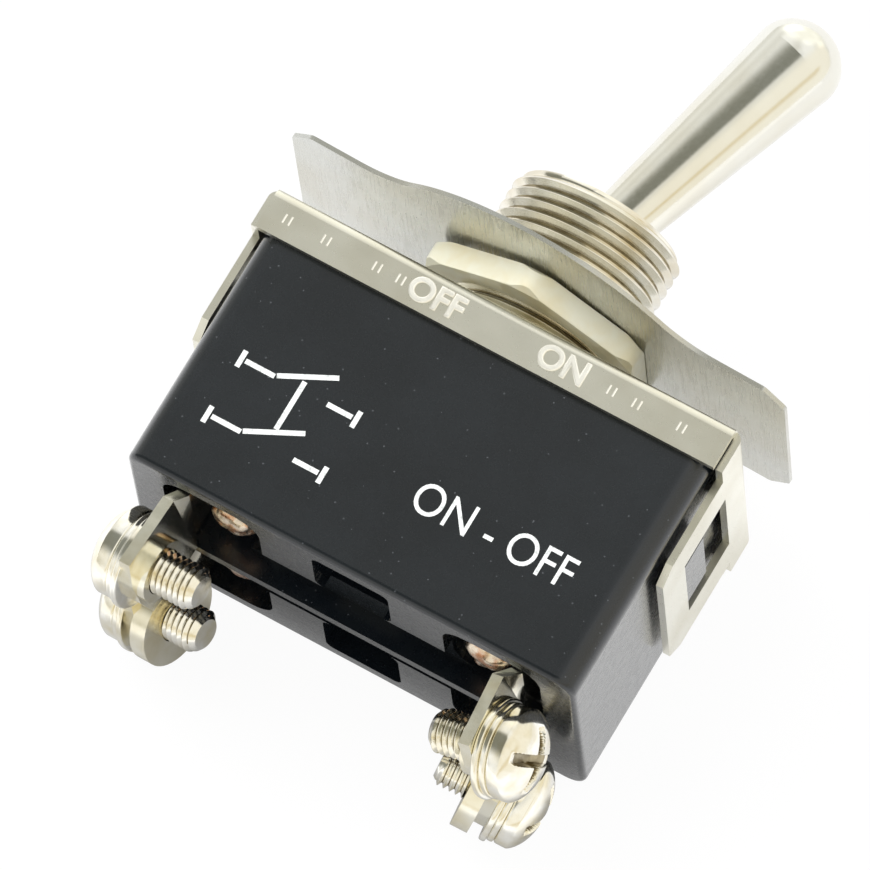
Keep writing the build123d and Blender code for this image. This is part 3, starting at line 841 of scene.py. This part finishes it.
@dataclass
class Lettering:
    """Flat words on a face of the switch, a hair thicker than the ink or the stamp's edge."""

    height: float
    thickness: float
    squeeze: float = 1.0
    edge: float = 0.0

    def build(self, name: str, words: str, origin: Vector, right: Vector, up: Vector) -> bpy.types.Object:
        """Makes words as a mesh on a plane.

        Args:
            name: Name of the piece.
            words: What to write.
            origin: Middle of the words, in millimetres.
            right: Reading direction.
            up: Upward direction of the letters.

        Returns:
            The words' object, at the origin with its place in its mesh.
        """
        curve = bpy.data.curves.new(name, "FONT")
        curve.body = words
        curve.align_x = "CENTER"
        curve.align_y = "CENTER"
        curve.size = self.height / 0.72
        curve.extrude = self.thickness / 2
        curve.bevel_depth = self.edge
        curve.bevel_resolution = 2
        curve.resolution_u = 6
        holder = link_curve(name, curve)
        mesh = bpy.data.meshes.new_from_object(holder.evaluated_get(bpy.context.evaluated_depsgraph_get()))
        bpy.data.objects.remove(holder)
        normal = right.cross(up)
        axes = Matrix((right * self.squeeze, up, normal)).transposed().to_4x4()
        mesh.transform(Matrix.Scale(MM, 4) @ Matrix.Translation(origin) @ axes)
        mesh.name = name
        return link(name, mesh)


def link_curve(name: str, curve: bpy.types.Curve) -> bpy.types.Object:
    """Puts a curve into the scene for as long as its mesh is being made.

    Args:
        name: Name of the object.
        curve: Its curve.

    Returns:
        The object, which the caller removes again.
    """
    holder = bpy.data.objects.new(name, curve)
    bpy.context.scene.collection.objects.link(holder)
    bpy.context.view_layer.update()
    return holder


@dataclass
class ContactDiagram:
    """A plain wiring sign of two switched poles, printed in strokes on the housing's front."""

    face: float
    stroke: float = 0.34
    ink: float = 0.02
    growth: float = 0.0015

    def strokes(self) -> list[tuple[float, float, float, float]]:
        """The sign's strokes as (x0, z0, x1, z1) on the front face."""
        lines = []
        for z in (-10.9, -15.1):
            lines += [(-12.6, z, -10.5, z), (-6.7, z, -4.9, z), (-10.4, z + 0.1, -6.9, z + 1.85)]
            lines += [(-12.9, z - 0.6, -12.9, z + 0.6), (-4.6, z - 0.6, -4.6, z + 0.6)]
        lines += [(-8.65, -10.3, -8.65, -13.9)]
        return lines

    def build(self) -> bpy.types.Object:
        """Makes each stroke as a thin box along its line, each a hair thicker than the one before.

        Returns:
            The sign's object.
        """
        grids = []
        for number, (x0, z0, x1, z1) in enumerate(self.strokes()):
            along = np.array([x1 - x0, z1 - z0])
            side = np.array([-along[1], along[0]]) / np.linalg.norm(along) * self.stroke / 2
            ends = np.array([[x0, z0], [x1, z1]])
            ink = self.ink + self.growth * number
            ring = [(ends + side, self.face - ink), (ends - side, self.face - ink),
                    (ends - side, self.face + ink), (ends + side, self.face + ink)]
            rows = np.stack([np.stack([e[:, 0], np.full(2, y), e[:, 1]], -1) for e, y in ring])
            grids.append((rows, True, False))
            for column in (0, 1):
                grids.append((rows[[[0, 1], [3, 2]], column], False, False))
        return surface("contact_diagram", grids, 30)


@dataclass
class StampedTicks:
    """Short pairs of strokes that the stamping die left on the cap's front flange."""

    face: float
    places: tuple[float, ...] = (-15.2, -12.4, -8.7, -7.0, 8.2, 10.0, 13.2)
    height: tuple[float, float] = (-1.35, -2.0)
    width: float = 0.13
    gap: float = 0.42
    depth: float = 0.03
    sunk: float = 0.05

    def build(self) -> bpy.types.Object:
        """Makes each stroke as a low ridge with a sloping front.

        Returns:
            The strokes' object.
        """
        grids = []
        top, bottom = self.height
        for x in self.places:
            for offset in (0.0, self.gap):
                left, right = x + offset, x + offset + self.width
                middle = (left + right) / 2
                ring = [(left, self.face + self.sunk), (left, self.face), (middle, self.face - self.depth),
                        (right, self.face), (right, self.face + self.sunk)]
                rows = np.array([[(a, b, top), (a, b, bottom)] for a, b in ring])
                grids.append((rows, True, False))
                for column in (0, 1):
                    centre = np.repeat(rows[:, column].mean(0)[None], len(ring), 0)
                    grids.append((np.stack([rows[:, column], centre]), False, True))
        return surface("stamped_ticks", grids, 20)


@dataclass
class Table:
    """The pale table that the switch lies on, shown from its upper side only.

    It touches the housing's rear bottom edge and leans to the plate's rear rim. The camera sees it
    nearly blown out to white. Reflections see the switch's shadow on it, as a band that ends above,
    below and beside the terminals, and see it a little darker beyond the plate.
    """

    touch: tuple[float, float] = (9.67, -19.8)
    rise_degrees: float = 9.1
    half: float = 420.0
    cells: int = 8
    seen_white: float = 0.95
    mirrored_white: float = 0.6
    shadow_top: tuple[float, float] = (-21.5, -18.5)
    shadow_bottom: tuple[float, float] = (-38.0, -60.0)
    shadow_side: tuple[float, float] = (17.0, 26.0)
    shadow_level: float = 0.2
    dim_heights: tuple[float, float] = (6.0, 13.0)
    dim_level: float = 0.78

    def finish(self) -> bpy.types.Material:
        """Makes the table's material.

        Returns:
            The material: matt white that glows, clear from behind.
        """
        material, tree, place = blank_material("pale_table")
        grit = add(tree, "ShaderNodeTexNoise", {"Vector": place, "Scale": 1 / (30 * MM)})
        tone = add(tree, "ShaderNodeValToRGB", {0: grit}, stops=((0.3, "#FFFFFF"), (0.7, "#FCFCFC")))
        matt = add(tree, "ShaderNodeBsdfDiffuse", {"Color": tone})
        seen = add(tree, "ShaderNodeLightPath", output="Is Camera Ray")
        height = add(tree, "ShaderNodeSeparateXYZ", {0: place}, "Z")
        beside = add(tree, "ShaderNodeMath", {0: height.node.outputs["X"]}, operation="ABSOLUTE")
        lit = seen
        for value, edge in ((height, self.shadow_top), (height, self.shadow_bottom),
                            (beside, self.shadow_side)):
            outside = shared(tree, (value, edge[0] * MM, edge[1] * MM))
            lit = add(tree, "ShaderNodeMath", {0: lit, 1: outside}, operation="MAXIMUM")
        level = add(tree, "ShaderNodeMapRange", {
            "Value": lit, "To Min": self.shadow_level, "To Max": 1.0})
        low, high = self.dim_heights
        beyond = add(tree, "ShaderNodeMapRange", {
            "Value": height, "From Min": low * MM, "From Max": high * MM,
            "To Min": 1.0, "To Max": self.dim_level})
        dim = add(tree, "ShaderNodeMath", {0: beyond, 1: seen}, operation="MAXIMUM")
        strength = add(tree, "ShaderNodeMath", {0: level, 1: dim}, operation="MULTIPLY")
        glow = add(tree, "ShaderNodeEmission", {"Color": linear("#FFFFFF"), "Strength": strength})
        share = add(tree, "ShaderNodeMapRange", {
            "Value": seen, "To Min": self.mirrored_white, "To Max": self.seen_white})
        pale = add(tree, "ShaderNodeMixShader", {0: share, 1: matt, 2: glow})
        back = add(tree, "ShaderNodeNewGeometry", output="Backfacing")
        through = add(tree, "ShaderNodeBsdfTransparent")
        both = add(tree, "ShaderNodeMixShader", {0: back, 1: pale, 2: through})
        add(tree, "ShaderNodeOutputMaterial", {"Surface": both})
        return material

    def build(self) -> None:
        """Makes the table, a leaning grid of square cells."""
        lean = math.radians(self.rise_degrees)
        foot = np.array([0.0, *self.touch])
        up = np.array([0.0, math.sin(lean), math.cos(lean)])
        side = np.linspace(-self.half, self.half, self.cells + 1)
        grid = foot + side[:, None, None] * up + side[None, :, None] * np.array([1.0, 0.0, 0.0])
        row, column = np.divmod(np.arange(self.cells ** 2), self.cells)
        across = self.cells + 1
        corner = row * across + column
        quads = np.stack([corner, corner + 1, corner + across + 1, corner + across], -1)
        mesh = bpy.data.meshes.new("table")
        mesh.from_pydata((grid.reshape(-1, 3) * MM).tolist(), [], quads.tolist())
        mesh.materials.append(self.finish())
        table = link("table", mesh)
        table.visible_shadow = False
        table.visible_diffuse = False


@dataclass
class Room:
    """The surroundings: white for the camera, and for reflections a white room with a grey patch.

    The patch is the dark side of the room that the lever mirrors. Its edges and those of the cream
    side and the tan line are angles round the lever's axis, in radians from the camera's side to the
    picture's upper left, and their ends are shares of a direction along that axis.
    """

    lever_axis: tuple[float, float, float] = (0.284, 0.0, 0.9588)
    window_axis: tuple[float, float, float] = (-0.2, -0.25, 0.95)
    window_edge: tuple[float, float] = (0.72, 0.92)
    window_gain: float = 1.5
    cloud: tuple[tuple[float, str], ...] = ((0.36, "#DEDDD4"), (0.6, "#FFFFFC"))
    cream_tone: str = "#FFFBEE"
    cream_edges: tuple[tuple[float, float], ...] = ((0.1, -0.3), (-1.9, -1.2))
    line_tone: str = "#EADDBC"
    line_edges: tuple[tuple[float, float], ...] = ((-0.98, -0.84), (-0.7, -0.8))
    line_end: tuple[float, float] = (0.6, 0.3)
    patch_tone: str = "#83847A"
    patch_edge: tuple[float, float] = (0.03, 0.15)
    patch_fade: tuple[float, float] = (1.36, 0.75)
    patch_slant: tuple[float, float] = (4.2, -0.294)
    patch_ends: tuple[tuple[float, float], ...] = ((0.44, 0.3), (-0.75, -0.45))
    diffuse_tone: str = "#CDCDCD"

    def patches(self, tree: Tree, direction: Socket, forward: Vector) -> tuple[Socket, ...]:
        """Works out where the cream side, the tan line, the grey patch and the window are.

        Args:
            tree: The world's node tree.
            direction: The direction that is looked up.
            forward: The camera's viewing direction.

        Returns:
            The share of each of the four, from 0 to 1.
        """
        lever = Vector(self.lever_axis)
        across = lever.cross(forward).normalized()
        facing = lever.cross(across).normalized()
        leftward, nearward, tipward, skyward = (
            add(tree, "ShaderNodeVectorMath", {0: direction, 1: tuple(axis)}, "Value",
                operation="DOT_PRODUCT")
            for axis in (across, facing, lever, Vector(self.window_axis).normalized()))
        turned = add(tree, "ShaderNodeMath", {0: leftward, 1: nearward}, operation="ARCTAN2")
        factor, shift = self.patch_slant
        slant = add(tree, "ShaderNodeMath", {0: tipward, 1: factor, 2: shift}, operation="MULTIPLY_ADD")
        slanted = add(tree, "ShaderNodeMath", {0: turned, 1: slant}, operation="ADD")
        cream = shared(tree, *((turned, *edge) for edge in self.cream_edges))
        line = shared(tree, *((turned, *edge) for edge in self.line_edges), (tipward, *self.line_end))
        patch = shared(tree, (turned, *self.patch_edge), (slanted, *self.patch_fade),
                       *((tipward, *end) for end in self.patch_ends))
        return cream, line, patch, shared(tree, (skyward, *self.window_edge))

    def build(self, forward: Vector) -> None:
        """Makes the world.

        Args:
            forward: The camera's viewing direction.
        """
        world = bpy.data.worlds.new("studio")
        world.use_nodes = True
        tree = world.node_tree
        tree.nodes.clear()
        direction = add(tree, "ShaderNodeTexCoord", output="Generated")
        cream, line, patch, window = self.patches(tree, direction, forward)
        noise = add(tree, "ShaderNodeTexNoise", {"Vector": direction, "Scale": 1.6, "Detail": 1.0})
        room = add(tree, "ShaderNodeValToRGB", {0: noise}, stops=self.cloud)
        glossy = add(tree, "ShaderNodeLightPath", output="Is Glossy Ray")
        rays = glossy.node.outputs
        seen = add(tree, "ShaderNodeMath", {0: rays["Is Camera Ray"], 1: rays["Is Transmission Ray"]},
                   operation="MAXIMUM")
        for share, tone in ((cream, self.cream_tone), (line, self.line_tone), (patch, self.patch_tone)):
            room = add(tree, "ShaderNodeMix", {"Factor": share, "A": room, "B": linear(tone)}, "Result",
                       data_type="RGBA")
        plain = add(tree, "ShaderNodeMix", {"Factor": glossy, "A": linear(self.diffuse_tone), "B": room},
                    "Result", data_type="RGBA")
        shown = add(tree, "ShaderNodeMix", {"Factor": seen, "A": plain, "B": linear("#FFFFFF")}, "Result",
                    data_type="RGBA")
        extra = add(tree, "ShaderNodeMath", {0: window, 1: glossy}, operation="MULTIPLY")
        strength = add(tree, "ShaderNodeMapRange", {
            "Value": extra, "To Min": 1.0, "To Max": self.window_gain})
        light = add(tree, "ShaderNodeBackground", {"Color": shown, "Strength": strength})
        add(tree, "ShaderNodeOutputWorld", {"Surface": light})
        bpy.context.scene.world = world


@dataclass(frozen=True)
class SoftLamp:
    """A square soft lamp, placed along the camera's right, up and backward directions."""

    name: str
    across: float
    above: float
    back: float
    size: float
    watts: float

    def hang(self, right: Vector, up: Vector, forward: Vector) -> None:
        """Hangs the lamp, turned to the switch and not mirrored in it.

        Args:
            right: The camera's right direction.
            up: Its upward direction.
            forward: Its viewing direction.
        """
        place = right * self.across + up * self.above - forward * self.back
        data = bpy.data.lights.new(self.name, "AREA")
        data.shape = "SQUARE"
        data.size = self.size * MM
        data.energy = self.watts
        lamp = bpy.data.objects.new(self.name, data)
        turn = place.to_track_quat("Z", "Y").to_matrix().to_4x4()
        lamp.matrix_world = Matrix.Translation(place * MM) @ turn
        lamp.visible_glossy = False
        bpy.context.scene.collection.objects.link(lamp)


@dataclass
class Studio:
    """The camera, table, surroundings and lamps of the photograph."""

    camera_place: tuple[float, float, float] = (171.264, -772.356, -228.010)
    azimuth: float = 12.6406
    elevation: float = -15.6247
    roll: float = 31.3699
    lens: float = 540.03
    lamps: tuple[SoftLamp, ...] = (
        SoftLamp("soft_key", -260, 420, 380, 520, 4.1),
        SoftLamp("soft_fill", 520, 60, 300, 520, 1.5),
        SoftLamp("soft_low", -200, -480, 260, 420, 0.9))

    def axes(self) -> tuple[Vector, Vector, Vector]:
        """Works out the camera's directions from its azimuth, elevation and roll.

        Returns:
            Right, up and forward.
        """
        a, e, r = (math.radians(v) for v in (self.azimuth, self.elevation, self.roll))
        forward = Vector((-math.sin(a) * math.cos(e), math.cos(a) * math.cos(e), -math.sin(e)))
        level_up = (Vector((0, 0, 1)) - forward * forward.z).normalized()
        level_right = forward.cross(level_up)
        right = level_right * math.cos(r) + level_up * math.sin(r)
        up = level_up * math.cos(r) - level_right * math.sin(r)
        return right, up, forward

    def build_camera(self) -> None:
        """Makes the camera at the photograph's place, angle and field of view."""
        right, up, forward = self.axes()
        data = bpy.data.cameras.new("photo_camera")
        data.lens = self.lens
        data.sensor_width = 36.0
        data.clip_start = 0.05
        data.clip_end = 20.0
        camera = bpy.data.objects.new("photo_camera", data)
        turn = Matrix((right, up, -forward)).transposed().to_4x4()
        camera.matrix_world = Matrix.Translation(Vector(self.camera_place) * MM) @ turn
        bpy.context.scene.collection.objects.link(camera)
        bpy.context.scene.camera = camera

    def build(self) -> None:
        """Makes the whole studio."""
        right, up, forward = self.axes()
        self.build_camera()
        Table().build()
        Room().build(forward)
        for lamp in self.lamps:
            lamp.hang(right, up, forward)
        bpy.context.scene.view_settings.view_transform = "Standard"
        log.info("studio ready")


class Switch:
    """The whole switch: CAD nodes in their finishes, and the pieces that this file adds."""

    places: tuple[str, ...] = ("front_left", "front_right", "rear_left", "rear_right")
    cross_turns: tuple[float, ...] = (0.9, 0.47, 1.3, 0.9)
    housing_front: float = -9.6
    flange_front: float = -10.15
    plate_lean: float = 1.42

    def __init__(self, frame: dict) -> None:
        """Keeps the frame and makes one material for each finish.

        Args:
            frame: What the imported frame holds: nodes, bodies, joints and record.
        """
        self.nodes: dict[str, bpy.types.Object] = frame["nodes"]
        self.record: dict = frame["record"]
        self.materials = {slot: finish.build() for slot, finish in FINISHES.items()}

    def dress_nodes(self) -> None:
        """Gives every CAD node the finish of the slot that the record names for it."""
        slot_of = {row["node"]: row["material_slot"] for row in self.record["subparts"]}
        for name, node in self.nodes.items():
            material = self.materials[slot_of[name]]
            if not node.data.materials:
                node.data.materials.append(material)
            for index in range(len(node.data.materials)):
                node.data.materials[index] = material

    def add_bushing(self) -> None:
        """Adds the threaded bushing and the nut on it."""
        design = ThreadedBushing()
        bushing = design.build()
        dress(bushing, self.materials["plated_bushing"], "plated_bushing", "base", "bushing")
        # Painted shade: the thread's roots take a darker material
        paint_hollow_shade(bushing, self.materials["painted_shade_hollow"], design.hollow)
        dress(HexNut().build(), self.materials["plated_nut"], "plated_nut", "base", "mounting_nut")

    def add_fasteners(self) -> None:
        """Adds the four screws with their washers, and the four rivets."""
        plated, hollow_shade, silver = (
            self.materials[slot] for slot in ("plated_screw", "painted_shade_hollow", "silver_contact"))
        for number, (place, cross_turn) in enumerate(zip(self.places, self.cross_turns)):
            design = TerminalScrew(cross_turn)
            screw = design.build(place)
            dress(screw, plated, "plated_screw", "base", f"terminal_screw_{place}")
            # Painted shade: the screw's cross and thread roots take a darker material
            paint_hollow_shade(screw, hollow_shade, lambda centres: design.hollow(TAB_POSES[place].fetch(centres)))
            flat = ScrewRing(3.3, 0.45, 12.4).build(place, f"flat_ring_{place}")
            dress(flat, plated, "plated_screw", "base", f"flat_washer_{place}")
            split = ScrewRing(3.1, 0.45, 12.85, 7.0).build(place, f"split_ring_{place}")
            dress(split, plated, "plated_screw", "base", f"lock_washer_{place}")
            rivet = UpsetRivet().build(place, 0.7 + 1.9 * number)
            dress(rivet, silver, "silver_contact", "base", f"terminal_rivet_{place}")

    def add_prints(self) -> None:
        """Adds ON and OFF on the plate, the sign and words on the housing, and the stamped flange."""
        white = Ink("white_pad_print", "#E9ECEA", "#B9BDBB").build()
        black = Ink("black_pad_print", "#1E1F21", "#3A3B3D").build()
        # Painted highlight: the stamped words and ticks take a paler finish than the sheet
        struck_highlight = self.materials["struck_marks_painted_highlight"]
        right, up = Vector((1, 0, 0)), Vector((0, 0, 1))
        dress(ContactDiagram(face=self.housing_front).build(), white, "phenolic", "base")
        front = Lettering(2.25, 0.04, 0.86).build(
            "housing_words", "ON - OFF", Vector((6.7, self.housing_front, -13.4)), right, up)
        dress(front, white, "phenolic", "base")
        lean = math.radians(self.plate_lean)
        slope = Vector((math.cos(lean), 0, -math.sin(lean)))
        low, high = (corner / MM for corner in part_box("on_off_plate"))
        middle = Vector(((low.x + high.x) / 2, 0, high.z - (high.x - low.x) / 2 * math.sin(lean)))
        for words, x in (("ON", 14.8), ("OFF", -14.8)):
            sign = Lettering(3.0, 0.02).build(
                f"plate_{words}", words, middle + slope * x, Vector((0, -1, 0)), slope)
            dress(sign, black, "satin_plate", "base")
        stamped = Lettering(1.6, 0.01, 0.98, 0.1).build(
            "flange_words", "OFF         ON", Vector((0.3, self.flange_front, -1.7)), right, up)
        dress(stamped, struck_highlight, "plated_sheet", "base")
        dress(StampedTicks(face=self.flange_front).build(), struck_highlight, "plated_sheet", "base")


def main() -> None:
    """Builds the switch on its frame, then the studio, and reports each step."""
    logging.basicConfig(level=logging.INFO, format="%(name)s: %(message)s")
    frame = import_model()
    switch = Switch(frame)
    switch.dress_nodes()
    switch.add_bushing()
    switch.add_fasteners()
    switch.add_prints()
    Studio().build()


if __name__ == "__main__":
    main()
